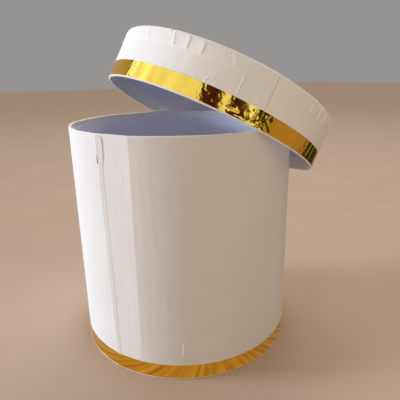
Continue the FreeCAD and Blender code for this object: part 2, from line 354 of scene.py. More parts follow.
def crumple(azimuth, height, start, end, count, rise, size, seed):
    """Crumpled foil: sharp creases of about a size, at random between two azimuths, half of them raised."""
    chance = np.random.RandomState(seed)
    arc = math.radians(1) * LID_RADIUS
    skin = np.zeros(np.broadcast(azimuth, height).shape)
    for _ in range(count):
        u = turn_between(azimuth, chance.uniform(start, end)) * arc
        v = height - chance.uniform(-0.5, FOIL_WIDTH + 0.5)
        angle = chance.uniform(0, math.pi)
        along = np.abs(u * math.cos(angle) + v * math.sin(angle))
        across = np.abs(v * math.cos(angle) - u * math.sin(angle))
        half_length = size * chance.uniform(0.5, 1.5)
        sharpness = size * chance.uniform(0.15, 0.35)
        lift = rise * chance.uniform(0.4, 1.0) * chance.choice([-1, 1])
        skin += lift * np.exp(-across / sharpness) * smooth(1 - along / half_length)
    return skin


FOIL_CRUMPLES = [
    # start, end, count, rise, size
    (229.8, 241.0, 50, 0.045, 1.8),
    (229.8, 263.0, 34, 0.05, 5.0),
    (240.0, 254.0, 30, 0.012, 2.2),
    (244.0, 249.5, 14, 0.02, 2.5),
    (254.0, 262.5, 22, 0.22, 4.5),
    (254.5, 263.0, 50, 0.06, 2.0),
    (191.5, 197.0, 60, 0.04, 1.6),
    (197.0, 229.0, 60, 0.015, 3.0),
    (263.0, 285.0, 40, 0.025, 4.0),
    (286.0, 300.0, 90, 0.11, 1.9),
]
FOIL_BENDS = [
    # start, end, half width, rise
    ((243.0, 1.9), (251.5, 2.5), 0.8, -0.22),
    ((242.5, 4.9), (249.0, 3.6), 0.7, 0.18),
    ((256.0, 11.5), (255.0, 3.0), 0.7, 0.3),
    ((260.5, 10.5), (256.0, 1.5), 0.7, -0.25),
    ((291.4, -0.5), (293.8, 13.0), 0.6, 0.35),
    ((296.4, -0.5), (297.6, 13.0), 0.7, 0.25),
]


def lid_foil_skin(azimuth, height):
    """The foil's own creases over the lid's side paper."""
    z = height - LID_FOIL_LOW
    skin = 0
    for seed, patch in enumerate(FOIL_CRUMPLES):
        skin = skin + crumple(azimuth, z, *patch, 40 + seed)
    for start, end, width, rise in FOIL_BENDS:
        skin = skin + ridge(azimuth, z, start, end, width, rise, LID_RADIUS)
    return np.clip(skin, -0.1, 0.5)


# ---- mesh making


def outline(corners):
    """A closed outline in (radius, height) from (radius, height, rounding, step) corners.

    The step is the spacing of points on the straight edge that follows the corner. The result runs so that
    faces point outwards.
    """
    places = [np.array(corner[:2], float) for corner in corners]
    points = []
    count = len(corners)
    ends = []
    for number, (place, corner) in enumerate(zip(places, corners)):
        before, after = places[number - 1], places[(number + 1) % count]
        rounding = corner[2]
        if rounding <= 0:
            ends.append((place, place, [place]))
            continue
        arriving = (before - place) / np.linalg.norm(before - place)
        leaving = (after - place) / np.linalg.norm(after - place)
        start, end = place + arriving * rounding, place + leaving * rounding
        bend = [(1 - s) ** 2 * start + 2 * s * (1 - s) * place + s**2 * end for s in np.linspace(0, 1, 7)]
        ends.append((start, end, bend))
    for number, (_, end, bend) in enumerate(ends):
        points.extend(bend)
        goal = ends[(number + 1) % count][0]
        pieces = max(1, int(round(np.linalg.norm(goal - end) / corners[number][3])))
        for piece in range(1, pieces):
            points.append(end + (goal - end) * piece / pieces)
    points = np.array(points)
    r, z = points[:, 0], points[:, 1]
    area = np.sum(r * np.roll(z, -1) - np.roll(r, -1) * z)
    return points if area > 0 else points[::-1]


def azimuth_list(step, fine=()):
    """Azimuths round the axis at an even step, with (start, end, step) stretches that are finer."""
    values = set(np.round(np.arange(0, 360, step), 4))
    for start, end, small in fine:
        values |= set(np.round(np.arange(start, end, small) % 360, 4))
    ordered = np.array(sorted(values))
    gaps = np.diff(ordered, append=ordered[0] + 360)
    return ordered[gaps > 0.02]


def held_in(azimuth, r, limit, turn):
    """Radii held inside a flat limit square to an azimuth, such as a side of the CAD model's box."""
    facing = np.abs(np.cos(np.radians(azimuth - turn)))
    return np.minimum(r, limit / np.maximum(facing, 0.5))


def turned_sheet(name, body, corners, azimuths, shape=None, arc=False):
    """A closed solid swept round a body's axis.

    It has the outline at every azimuth, moved by shape(azimuth, radius, height). With arc it stops at the
    first and last azimuth and its ends are closed; otherwise it goes all the way round.
    """
    points = outline(corners)
    azimuth = np.asarray(azimuths, float)[:, None]
    r = np.broadcast_to(points[:, 0], (len(azimuths), len(points)))
    z = np.broadcast_to(points[:, 1], r.shape)
    if shape:
        r, z = shape(azimuth, r, z)
    turn = np.radians(azimuth)
    places = np.stack([r * np.cos(turn), r * np.sin(turn), z], axis=-1) * MM
    rows, columns = r.shape
    number = np.arange(rows * columns).reshape(rows, columns)
    near = number if not arc else number[:-1]
    far = np.roll(number, -1, axis=0) if not arc else number[1:]
    along = np.roll(near, -1, axis=1)
    far_along = np.roll(far, -1, axis=1)
    quads = np.stack([near, far, far_along, along], axis=-1).reshape(-1, 4)
    faces = quads.tolist()
    if arc:
        faces.append(number[0].tolist())
        faces.append(number[-1][::-1].tolist())
    mesh = bpy.data.meshes.new(name)
    mesh.from_pydata(places.reshape(-1, 3).tolist(), [], faces)
    piece = bpy.data.objects.new(name, mesh)
    bpy.context.scene.collection.objects.link(piece)
    close_axis(mesh)
    mesh.transform(PLACES[body])
    mesh.shade_smooth()
    mesh.set_sharp_from_angle(angle=math.radians(50))
    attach(piece, body)
    return piece


def close_axis(mesh):
    """Merges the many points that a disc has on its axis, and drops the faces that this empties."""
    work = bmesh.new()
    work.from_mesh(mesh)
    on_axis = [v for v in work.verts if math.hypot(v.co.x, v.co.y) < 1e-7]
    if on_axis:
        bmesh.ops.remove_doubles(work, verts=on_axis, dist=1e-6)
    work.to_mesh(mesh)
    work.free()


def stand_for(piece, node, slot, looks):
    """The piece takes a CAD node's place, in a slot of the record, with that slot's look."""
    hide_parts(node)
    piece.data.materials.append(looks[slot])


# ---- the box's pieces


SEAM_FINE = (203.0, 224.0, 0.1)


def make_body_board(looks):
    corners = [
        (BODY_BOARD_IN, 2 * PAPER, 0, 8),
        (BODY_BOARD_OUT, 2 * PAPER, 0.3, 12),
        (BODY_BOARD_OUT, BODY_HEIGHT - PAPER, 0.6, 8),
        (BODY_BOARD_IN, BODY_HEIGHT - PAPER, 0.6, 12),
    ]
    half_gap = 0.1
    azimuths = np.linspace(BODY_SEAM + half_gap, BODY_SEAM + 360 - half_gap, 361)

    def shape(azimuth, r, z):
        return r + np.minimum(body_wall(azimuth, z), 0.2) - 0.02, z

    piece = turned_sheet("body_wall_board_shell", "box", corners, azimuths, shape, arc=True)
    stand_for(piece, "body_wall_board", "greyboard", looks)


def make_body_cover(looks):
    foot = BODY_RADIUS - BASE_TURN_IN
    turn_in = BODY_BOARD_IN - PAPER
    fold_end = BODY_HEIGHT - RIM_TURN_IN
    corners = [
        (foot, PAPER, 0, 2),
        (BODY_RADIUS, PAPER, 0.45, 1.2),
        (BODY_RADIUS, BODY_HEIGHT - RIM_TURN_IN, 0, 0.4),
        (BODY_RADIUS, BODY_HEIGHT, 0.85, 1),
        (turn_in, BODY_HEIGHT, 0.85, 1),
        (turn_in, fold_end, 0, 1),
        (BODY_BOARD_IN, fold_end, 0, 8),
        (BODY_BOARD_IN, BODY_HEIGHT - PAPER, 0.5, 1),
        (BODY_BOARD_OUT, BODY_HEIGHT - PAPER, 0.5, 12),
        (BODY_BOARD_OUT, 2 * PAPER, 0.3, 2),
        (foot, 2 * PAPER, 0, 1),
    ]
    skin_from = BODY_RADIUS - 0.12

    def shape(azimuth, r, z):
        skin = body_skin(azimuth, np.minimum(z, BODY_HEIGHT - 1.2))
        moved = r + body_wall(azimuth, z)
        moved = np.where(r > skin_from, moved + skin, moved)
        on_top = (z > BODY_HEIGHT - 1.5) & (r > turn_in - 0.01)
        sway = 0.18 * ripple(azimuth, 0, 16, 1, 14) + 0.05 * ripple(azimuth, 0, 120, 1, 15)
        inside = (r < turn_in + 0.05) & (z > fold_end)
        pucker = 0.05 * ripple(azimuth, z, 170, 5, 16)
        moved = held_in(azimuth, np.where(inside, moved - np.abs(pucker), moved), LEFT_REACH, 180)
        return moved, np.where(on_top, z + sway - 0.15, z)

    piece = turned_sheet("body_cover_sheet", "box", corners, azimuth_list(0.5, [SEAM_FINE]), shape)
    stand_for(piece, "body_cover_paper", "cover_paper", looks)


def make_base_cover(looks):
    step_in = BODY_RADIUS - BASE_TURN_IN - PAPER
    edge = BODY_RADIUS - BASE_MARGIN
    corners = [
        (0, PAPER, 0, 6),
        (step_in, PAPER, 0.1, 1),
        (step_in, 0, 0.1, 3),
        (edge, 0, 0.08, 1),
        (edge, PAPER, 0.05, 3),
        (step_in + PAPER, PAPER, 0, 1),
        (step_in + PAPER, 2 * PAPER, 0, 6),
        (0, 2 * PAPER, 0, 1),
    ]

    def shape(azimuth, r, z):
        cut = 0.35 * ripple(azimuth, 0, 22, 1, 17)
        return r + np.where(r > edge - 0.3, cut, 0), z

    piece = turned_sheet("base_cover_sheet", "box", corners, azimuth_list(1.0), shape)
    stand_for(piece, "base_cover_paper", "cover_paper", looks)


def lining_ripple(azimuth, height):
    """The box lining's own ripples and the step of its lap."""
    step = LAP_RISE * band(azimuth, *BODY_LINING_LAP, BODY_RADIUS, 0.4)
    lift = 0.06 * ripple(azimuth, height, 90, 60, 51) + 0.05 * ripple(azimuth, height, 40, 18, 52)
    return step + lift


def glue_waves(azimuth, r, rise, lengths, sway):
    """Shallow waves of a sheet glued to a disc: two trains of four lengths, the second swayed that much."""
    x, y = r * np.cos(np.radians(azimuth)), r * np.sin(np.radians(azimuth))
    first = np.sin(x / lengths[0] + 2 * np.sin(y / lengths[1]))
    second = np.sin(y / lengths[2] + sway * np.sin(x / lengths[3]))
    return rise * first * second


def make_body_lining(looks):
    turn_in = BODY_BOARD_IN - PAPER
    fold = BODY_HEIGHT - RIM_TURN_IN
    corners = [
        (turn_in, BASE_TOP, 0, 1),
        (BODY_BOARD_IN, BASE_TOP, 0, 12),
        (BODY_BOARD_IN, fold, 0, 1),
        (turn_in, fold, 0, 4),
        (turn_in, BODY_LINING_TOP, 0.05, 1),
        (BODY_LINING_IN, BODY_LINING_TOP, 0.08, 2),
        (BODY_LINING_IN, fold - PAPER, 0.3, 1),
        (turn_in, fold - 3 * PAPER, 0.3, 2.5),
    ]

    def shape(azimuth, r, z):
        moved = r + body_wall(azimuth, z)
        facing = (r < turn_in + 0.01) & (z > BASE_TOP + 0.2)
        top_edge = np.where(z > BODY_LINING_TOP - 0.3, 0.35 * ripple(azimuth, 0, 26, 1, 53), 0)
        return np.where(facing, moved - np.abs(lining_ripple(azimuth, z)), moved), z + top_edge

    piece = turned_sheet("body_lining_sheet", "box", corners, azimuth_list(0.75), shape)
    stand_for(piece, "body_lining_paper", "lining_paper", looks)


def make_base_lining(looks):
    edge = BODY_LINING_IN - 0.3
    corners = [
        (0, BASE_TOP, 0, 6),
        (edge, BASE_TOP, 0, 1),
        (edge, BASE_TOP + PAPER, 0.15, 2.5),
        (0, BASE_TOP + PAPER, 0, 1),
    ]

    def shape(azimuth, r, z):
        lift = glue_waves(azimuth, r, 0.12, (9, 31, 13, 23), 1.5)
        return r, np.where(z > BASE_TOP + 0.1, z + np.abs(lift) * smooth((edge - r) / 8), z)

    piece = turned_sheet("base_lining_sheet", "box", corners, azimuth_list(1.5), shape)
    stand_for(piece, "base_lining_paper", "lining_paper", looks)


def make_body_seam_tape(looks):
    low, high = BASE_TOP + SEAM_TAPE_LIFT, BODY_HEIGHT - RIM_TURN_IN
    inner = BODY_BOARD_IN - TAPE
    corners = [
        (inner, low, 0, 1),
        (BODY_BOARD_IN, low, 0, 6),
        (BODY_BOARD_IN, high, 0, 1),
        (inner, high, 0, 6),
    ]
    azimuths = np.linspace(BODY_SEAM - SEAM_TAPE_HALF, BODY_SEAM + SEAM_TAPE_HALF, 41)

    def shape(azimuth, r, z):
        return r + body_wall(azimuth, z), z

    piece = turned_sheet("body_seam_tape_strip", "box", corners, azimuths, shape, arc=True)
    stand_for(piece, "body_seam_tape", "gummed_tape", looks)


def foil_corners(radius, low, high, step):
    return [
        (radius - 0.05, low, 0, 1),
        (radius + FOIL, low, 0.05, step),
        (radius + FOIL, high, 0.05, 1),
        (radius - 0.05, high, 0, 3),
    ]


def foil_lap(azimuth, end, radius):
    """The foil's end over its start: a second thickness that stops sharply at the end."""
    arc = math.radians(1) * radius
    return 1.5 * FOIL * band(azimuth, end - FOIL_OVERLAP / arc, end, radius, 0.7)


def make_base_foil(looks):
    arc = math.radians(1) * BODY_RADIUS

    def shape(azimuth, r, z):
        ripples = 0.018 * ripple(azimuth, z, 240, 6, 61) + 0.02 * ripple(azimuth, z, 60, 9, 62)
        lap = foil_lap(azimuth, BASE_FOIL_SEAM + FOIL_OVERLAP / arc, BODY_RADIUS)
        lift = body_wall(azimuth, z) + body_skin(azimuth, z) + ripples + lap
        edge = 0.1 * ripple(azimuth, 0, 34, 1, 63)
        moved = r + np.where(r > BODY_RADIUS, lift, np.minimum(lift, 0))
        return held_in(azimuth, moved, LEFT_REACH, 180), z + edge

    corners = foil_corners(BODY_RADIUS, BASE_FOIL_LOW + BASE_PAPER_SHOWN, BASE_FOIL_HIGH, 0.6)
    azimuths = azimuth_list(0.4, [SEAM_FINE, (206, 215, 0.06)])
    piece = turned_sheet("base_foil_turn", "box", corners, azimuths, shape)
    stand_for(piece, "base_foil_band", "gilt_foil", looks)


# ---- the lid's pieces


LID_ROUNDING = 1.9
LID_TRIM = 2.4
LID_FINE = [(192.0, 300.0, 0.15)]


def lid_top_swell(azimuth, r):
    """How far the paper on top stands off its board: shallow glue waves, and pleats at the edge."""
    waves = glue_waves(azimuth, r, 0.1, (17, 37, 21, 29), 1.3)
    near_edge = smooth((r - LID_RADIUS + 14) / 12)
    pleats = 0.16 * near_edge * ripple(azimuth, 0, TAB_COUNT * 2, 1, 24)
    return np.abs(waves) * smooth(r / 10) + np.maximum(pleats, -0.05)


def make_lid_top_board(looks):
    corners = [
        (0, LID_CEILING, 0, 8),
        (LID_BOARD_OUT, LID_CEILING, 0, 1),
        (LID_BOARD_OUT, LID_HEIGHT - PAPER, 1.5, 8),
        (0, LID_HEIGHT - PAPER, 0, 1),
    ]
    piece = turned_sheet("lid_top_board_disc", "lid", corners, azimuth_list(1.0))
    stand_for(piece, "lid_top_board", "greyboard", looks)


def make_lid_top_cover(looks):
    tab_end = LID_HEIGHT - TAB_LENGTH
    corners = [
        (0, LID_HEIGHT - PAPER, 0, 6),
        (LID_BOARD_OUT, LID_HEIGHT - PAPER, 1.5, 4),
        (LID_BOARD_OUT, tab_end, 0, 1),
        (LID_RADIUS, tab_end, 0.1, 2),
        (LID_RADIUS, LID_HEIGHT, LID_ROUNDING, 2.0),
        (0, LID_HEIGHT, 0, 1),
    ]

    def shape(azimuth, r, z):
        on_top = z > LID_HEIGHT - PAPER / 2
        return r, np.where(on_top, z + lid_top_swell(azimuth, r) * smooth((LID_RADIUS - r) / 2), z)

    piece = turned_sheet("lid_top_cover_sheet", "lid", corners, azimuth_list(0.5), shape)
    stand_for(piece, "lid_top_cover_paper", "cover_paper", looks)


def make_lid_side_cover(looks):
    turn_in = LID_BOARD_IN - PAPER
    corners = [
        (turn_in, 0, 0.7, 1),
        (LID_RADIUS, 0, 0.7, 0.7),
        (LID_RADIUS, LID_HEIGHT, LID_ROUNDING, 0.5),
        (LID_RADIUS - LID_TRIM, LID_HEIGHT, 0.05, 0.5),
        (LID_RADIUS - LID_TRIM, LID_HEIGHT - PAPER / 2, 0, 0.5),
        (LID_RADIUS - PAPER / 2, LID_HEIGHT - PAPER / 2, LID_ROUNDING, 3),
        (LID_BOARD_OUT, PAPER, 0.4, 1),
        (LID_BOARD_IN, PAPER, 0.4, 4),
        (LID_BOARD_IN, RIM_TURN_IN, 0, 1),
        (turn_in, RIM_TURN_IN, 0, 1.5),
    ]

    def shape(azimuth, r, z):
        outer = (r > LID_RADIUS - 0.04) | ((z > LID_HEIGHT - LID_ROUNDING) & (r > LID_RADIUS - 2.0))
        on_edge = smooth((z - LID_HEIGHT + 1.8) / 1.8)
        skin = lid_skin(azimuth, np.minimum(z, LID_HEIGHT - 0.8))
        moved = np.where(outer, r + skin * (1 - 0.75 * on_edge), r)
        raised = np.where(outer, z + 0.6 * skin * on_edge, z)
        trim = (r < LID_RADIUS - 2.0) & (z > LID_HEIGHT - 1)
        moved = np.where(trim, moved + 0.5 * ripple(azimuth, 0, 60, 1, 26), moved)
        inside = (r < turn_in + 0.05) & (z > 0.4)
        pucker = np.abs(0.06 * ripple(azimuth, z, 150, 5, 27))
        moved = np.where(inside, moved - pucker, moved)
        at_rim = (z < 0.8) & (r > turn_in - 0.01)
        under_foil = 0.15 * (z < LID_FOIL_LOW + FOIL_WIDTH + 0.5)
        moved = held_in(azimuth, moved, HALF_WIDTH - under_foil, 90)
        return moved, np.where(at_rim, raised + 0.07 * ripple(azimuth, 0, 70, 1, 28), raised)

    piece = turned_sheet("lid_side_cover_sheet", "lid", corners, azimuth_list(0.4, LID_FINE), shape)
    stand_for(piece, "lid_side_cover_paper", "cover_paper", looks)


def make_lid_skirt_lining(looks):
    turn_in = LID_BOARD_IN - PAPER
    corners = [
        (LID_LINING_IN, LID_LINING_LOW, 0.08, 1),
        (turn_in, LID_LINING_LOW, 0, 3),
        (turn_in, RIM_TURN_IN, 0, 1),
        (LID_BOARD_IN, RIM_TURN_IN, 0, 6),
        (LID_BOARD_IN, LID_CEILING, 0, 1),
        (turn_in, LID_CEILING, 0, 2),
        (turn_in, RIM_TURN_IN + 3 * PAPER, 0.3, 1),
        (LID_LINING_IN, RIM_TURN_IN + PAPER, 0.3, 2),
    ]

    def shape(azimuth, r, z):
        facing = (r < turn_in + 0.01) & (z < LID_CEILING - 0.2)
        step = LAP_RISE * band(azimuth, *LID_LINING_LAP, LID_RADIUS, 0.4)
        ripples = 0.07 * ripple(azimuth, z, 120, 12, 54) + step
        skew = 1.2 + 3.6 * smooth((np.abs(turn_between(azimuth, LID_LINING_NARROWEST)) - 20) / 22)
        edge = np.where(z < LID_LINING_LOW + 0.3, skew + 0.35 * ripple(azimuth, 0, 26, 1, 55), 0)
        return np.where(facing, r - np.abs(ripples), r), z + edge

    piece = turned_sheet("lid_skirt_lining_sheet", "lid", corners, azimuth_list(0.75), shape)
    stand_for(piece, "lid_skirt_lining_paper", "lining_paper", looks)


def make_lid_top_lining(looks):
    edge = LID_LINING_IN - 0.3
    corners = [
        (0, LID_CEILING - PAPER, 0, 3),
        (edge, LID_CEILING - PAPER, 0.15, 1),
        (edge, LID_CEILING, 0, 6),
        (0, LID_CEILING, 0, 1),
    ]

    def shape(azimuth, r, z):
        lift = glue_waves(azimuth, r, 0.1, (11, 27, 14, 19), 1.4)
        return r, np.where(z < LID_CEILING - 0.1, z - np.abs(lift) * smooth((edge - r) / 8), z)

    piece = turned_sheet("lid_top_lining_sheet", "lid", corners, azimuth_list(1.5), shape)
    stand_for(piece, "lid_top_lining_paper", "lining_paper", looks)


LID_FOIL_FINE = [(189, 300, 0.15)]


def make_lid_foil(looks):
    def shape(azimuth, r, z):
        slant = LID_FOIL_END + (z - LID_FOIL_LOW - FOIL_WIDTH / 2) * 0.19
        lift = lid_skin(azimuth, z) + lid_foil_skin(azimuth, z) + foil_lap(azimuth, slant, LID_RADIUS)
        lift = lift + 0.012 * ripple(azimuth, z, 200, 7, 64)
        edge = 0.1 * ripple(azimuth, 0, 40, 1, 65)
        moved = r + np.where(r > LID_RADIUS, lift, 0)
        return held_in(azimuth, moved, HALF_WIDTH, 90), z + edge

    corners = foil_corners(LID_RADIUS, LID_FOIL_LOW, LID_FOIL_LOW + FOIL_WIDTH, 0.3)
    piece = turned_sheet("lid_foil_turn", "lid", corners, azimuth_list(0.4, LID_FOIL_FINE), shape)
    stand_for(piece, "lid_foil_band", "gilt_foil", looks)


# ---- materials


class Shading:
    """A material and short ways to add the nodes it needs. Coordinates are the row frame's, in metres."""

    def __init__(self, name):
        self.material = bpy.data.materials.new(name)
        self.material.use_nodes = True
        self.nodes = self.material.node_tree.nodes
        self.links = self.material.node_tree.links
        self.shader = self.nodes["Principled BSDF"]
        self.place = self.nodes.new("ShaderNodeTexCoord").outputs["Object"]

    def stretched(self, x, y, z, turn):
        """Coordinates turned about Z, with a unit for every x, y and z millimetres."""
        node = self.nodes.new("ShaderNodeMapping")
        node.inputs["Rotation"].default_value = (0, 0, turn)
        node.inputs["Scale"].default_value = [1 / (size * MM) for size in (x, y, z)]
        self.links.new(self.place, node.inputs["Vector"])
        return node.outputs["Vector"]

    def part(self, vector, axis):
        """A vector's X, Y or Z."""
        node = self.nodes.new("ShaderNodeSeparateXYZ")
        self.links.new(vector, node.inputs["Vector"])
        return node.outputs[axis]

    def noise(self, x, z=None, detail=3.0, roughness=0.5, y=None, turn=0):
        """Noise with cells of x, y and z millimetres; y and z are as x where not given."""
        node = self.nodes.new("ShaderNodeTexNoise")
        node.inputs["Scale"].default_value = 1.0
        node.inputs["Detail"].default_value = detail
        node.inputs["Roughness"].default_value = roughness
        self.links.new(self.stretched(x, y or x, z or x, turn), node.inputs["Vector"])
        return node.outputs["Fac"]

    def ramp(self, value, low, high, first, second):
        """Maps value from low..high to first..second, numbers or colours."""
        if isinstance(first, tuple):
            node = self.nodes.new("ShaderNodeValToRGB")
            for stop, position, colour in zip(node.color_ramp.elements, (low, high), (first, second)):
                stop.position = position
                stop.color = (*colour, 1)
            self.links.new(value, node.inputs["Fac"])
            return node.outputs["Color"]
        node = self.nodes.new("ShaderNodeMapRange")
        for name, number in zip(("From Min", "From Max", "To Min", "To Max"), (low, high, first, second)):
            node.inputs[name].default_value = number
        self.links.new(value, node.inputs["Value"])
        return node.outputs["Result"]

    def feed(self, target, value):
        """Gives a socket another node's output, a colour or a number."""
        if isinstance(value, bpy.types.NodeSocket):
            self.links.new(value, target)
        else:
            target.default_value = (*value, 1) if isinstance(value, tuple) else value

    def mix(self, share, first, second):
        node = self.nodes.new("ShaderNodeMix")
        node.data_type = "RGBA"
        for socket, value in (("Factor_Float", share), ("A_Color", first), ("B_Color", second)):
            self.feed(next(s for s in node.inputs if s.identifier == socket), value)
        return next(s for s in node.outputs if s.identifier == "Result_Color")

    def combine(self, operation, *vectors):
        """The outputs of a node that works on vectors."""
        node = self.nodes.new("ShaderNodeVectorMath")
        node.operation = operation
        for number, vector in enumerate(vectors):
            self.feed(node.inputs[number], vector)
        return node.outputs

    def distance(self, origin, direction):
        """How many millimetres a point is from an origin in metres, along a direction or against it."""
        shifted = self.combine("SUBTRACT", self.place, origin)["Vector"]
        along = self.combine("DOT_PRODUCT", shifted, direction / MM)["Value"]
        return self.calculate("ABSOLUTE", along)

    def calculate(self, operation, *values):
        node = self.nodes.new("ShaderNodeMath")
        node.operation = operation
        for number, value in enumerate(values):
            self.feed(node.inputs[number], value)
        return node.outputs["Value"]

    def product(self, first, *others):
        for other in others:
            first = self.calculate("MULTIPLY", first, other)
        return first

    def bump(self, height, depth, before=None):
        """A bump that deep in millimetres, on top of another's normal."""
        node = self.nodes.new("ShaderNodeBump")
        node.inputs["Strength"].default_value = 1.0
        node.inputs["Distance"].default_value = depth * MM
        self.links.new(height, node.inputs["Height"])
        if before:
            self.links.new(before, node.inputs["Normal"])
        return node.outputs["Normal"]

    def set(self, **sockets):
        """Feeds sockets of the shader, each named with _ for a space."""
        for name, value in sockets.items():
            self.feed(self.shader.inputs[name.replace("_", " ")], value)


def mark(look, body, azimuth, radius, height, beside, along, strength=1.0):
    """Strength at a spot on a body's wall, down to 0 over (start, end) distances beside and along it."""
    turn = PLACES[body].to_3x3()
    angle = math.radians(azimuth)
    outwards = turn @ Vector((math.cos(angle), math.sin(angle), 0))
    across = turn @ Vector((-math.sin(angle), math.cos(angle), 0))
    upwards = turn @ Vector((0, 0, 1))
    middle = PLACES[body] @ (Vector((0, 0, height)) * MM) + outwards * radius * MM
    shares = [
        look.ramp(look.distance(middle, across), *beside, strength, 0.0),
        look.ramp(look.distance(middle, upwards), *along, 1.0, 0.0),
        look.ramp(look.distance(middle, outwards), 3.0, 4.0, 1.0, 0.0),
    ]
    return look.product(*shares)


def tear_gap_shade(look):
    """Painted shade in the dark gap of the small tear beside the box's lap."""
    azimuth = (TEAR_TOP[0] + TEAR_LOW[0]) / 2 - 0.1
    height = (TEAR_TOP[1] + TEAR_LOW[1]) / 2
    return mark(look, "box", azimuth, BODY_RADIUS, height, (0.45, 0.7), (2.6, 3.8))


def lap_edge_shade(look):
    """Painted shade along the cut edge of the lid's side paper, where it laps, above the foil."""
    foot = LID_FOIL_LOW + FOIL_WIDTH
    half = (LID_HEIGHT - foot) / 2
    return mark(look, "lid", LID_LAP + 0.15, LID_RADIUS, foot + half, (0.1, 0.4), (half - 3, half), 0.6)


def cover_paper_look():
    look = Shading("cover_paper")
    cloud = look.ramp(look.noise(38, 55, 4), 0.35, 0.7, (0.865, 0.85, 0.815), (0.83, 0.812, 0.772))
    mottle = look.ramp(look.noise(3.4, 8, 4, 0.65), 0.4, 0.7, 0.0, 0.22)
    colour = look.mix(mottle, cloud, (0.76, 0.735, 0.69))
    fleck = look.ramp(look.noise(1.6, 2.6, 2), 0.66, 0.8, 0.0, 0.16)
    colour = look.mix(fleck, colour, (0.62, 0.575, 0.5))
    # Painted shade, near black, in the gap of the small tear.
    colour = look.mix(tear_gap_shade(look), colour, (0.09, 0.07, 0.055))
    # Painted shade along the lap edge of the lid's side paper.
    colour = look.mix(lap_edge_shade(look), colour, (0.3, 0.25, 0.2))
    fibre = look.bump(look.noise(0.5, 0.8, 4, 0.6), 0.02)
    grain = look.bump(look.noise(2.4, 26, 3), 0.06, fibre)
    blotch = look.bump(look.noise(3.5, 4.5, 3, 0.6), 0.07, grain)
    look.set(Base_Color=colour, Normal=blotch)
    look.set(Roughness=look.ramp(look.noise(9, 14), 0.3, 0.7, 0.5, 0.62))
    look.set(Specular_IOR_Level=0.35, Sheen_Weight=0.08, Sheen_Roughness=0.4)
    return look.material


def lining_paper_look():
    look = Shading("lining_paper")
    colour = look.ramp(look.noise(30, 45, 4), 0.35, 0.7, (0.85, 0.86, 0.985), (0.80, 0.81, 0.95))
    fibre = look.bump(look.noise(0.6, 0.9, 4, 0.6), 0.02)
    grain = look.bump(look.noise(3.0, 22, 3), 0.05, fibre)
    look.set(Base_Color=colour, Normal=grain)
    look.set(Roughness=look.ramp(look.noise(7, 10), 0.3, 0.7, 0.6, 0.75))
    look.set(Specular_IOR_Level=0.3)
    return look.material


def gilt_foil_look():
    look = Shading("gilt_foil")
    tint = look.ramp(look.noise(14, 14, 3), 0.3, 0.75, (0.93, 0.60, 0.075), (0.87, 0.53, 0.055))
    drag = look.bump(look.noise(0.9, 5.0, 3, 0.55), 0.012)
    peel = look.bump(look.noise(1.3, 1.3, 2), 0.006, drag)
    look.set(Base_Color=tint, Normal=peel, Metallic=1.0)
    look.set(Roughness=look.ramp(look.noise(3.0, 3.0, 3), 0.35, 0.75, 0.06, 0.13))
    return look.material


def greyboard_look():
    look = Shading("greyboard")
    base = look.ramp(look.noise(1.2, 1.2, 5, 0.7), 0.3, 0.75, (0.44, 0.41, 0.37), (0.34, 0.31, 0.28))
    speck = look.ramp(look.noise(0.7, 0.7, 1), 0.7, 0.78, 0.0, 0.5)
    look.set(Base_Color=look.mix(speck, base, (0.22, 0.2, 0.19)))
    look.set(Roughness=0.9, Normal=look.bump(look.noise(0.6, 0.6, 5, 0.7), 0.05))
    return look.material


def gummed_tape_look():
    look = Shading("gummed_tape")
    fibre = look.noise(0.8, 14, 4, 0.6)
    look.set(Base_Color=look.ramp(fibre, 0.3, 0.75, (0.52, 0.36, 0.22), (0.41, 0.27, 0.15)))
    look.set(Roughness=0.7, Normal=look.bump(fibre, 0.03))
    return look.material


def floor_look():
    look = Shading("floor")
    tone = look.ramp(look.noise(90, 90, 4), 0.3, 0.75, (0.65, 0.495, 0.39), (0.61, 0.46, 0.36))
    look.set(Base_Color=tone, Roughness=1.0, Specular_IOR_Level=0.0)
    look.set(Normal=look.bump(look.noise(2.0, 2.0, 3), 0.05))
    return look.material


def card_look(name, colour, strength, soft):
    """A card's even glow with cloudy variation, fading out over that share of its width at both sides."""
    look = Shading(name)
    look.set(Base_Color=(0.0, 0.0, 0.0), Emission_Color=colour, Roughness=1.0, Specular_IOR_Level=0.0)
    cloud = look.noise(CLOUD_SIZE)
    look.set(Emission_Strength=look.ramp(cloud, 0.3, 0.7, strength * 0.82, strength * 1.12))
    across = look.part(look.nodes["Texture Coordinate"].outputs["Generated"], "X")
    side = look.calculate("ABSOLUTE", look.calculate("SUBTRACT", across, 0.5))
    look.set(Alpha=look.ramp(side, 0.5 - soft, 0.5, 1.0, 0.0))
    return look.material


def grain_look(light, dark, strength):
    """The streaky brown glow that the base foil mirrors, with painted light and shade: brighter to the left
    and farther off, dimmer to the right in the box's shadow.
    """
    look = Shading("floor_grain")
    streaks = look.noise(3.2, 1000, y=150, turn=-GRAIN_HEADING)
    look.set(Base_Color=(0.0, 0.0, 0.0), Roughness=1.0, Specular_IOR_Level=0.0)
    look.set(Emission_Color=look.ramp(streaks, 0.36, 0.6, dark, light))
    # Painted light and shade: brighter on the window's side of the floor, dimmer where the box's shadow
    # falls.
    beside = look.ramp(look.part(look.place, "X"), -0.16, 0.16, strength * 1.3, strength * 0.5)
    farther = look.ramp(look.combine("LENGTH", look.place)["Value"], 0.35, 0.8, 1.0, 1.9)
    look.set(Emission_Strength=look.product(beside, farther))
    return look.material


def paint_cad_nodes(looks):
    """The CAD nodes that stay: hidden boards and tapes, each in its record's slot."""
    kept = {
        "base_board": "greyboard",
        "base_joint_tape": "gummed_tape",
        "lid_skirt_board": "greyboard",
        "lid_seam_tape": "gummed_tape",
        "lid_joint_tape": "gummed_tape",
    }
    for node, slot in kept.items():
        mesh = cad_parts[node].data
        mesh.materials.clear()
        mesh.materials.append(looks[slot])


# ---- the studio


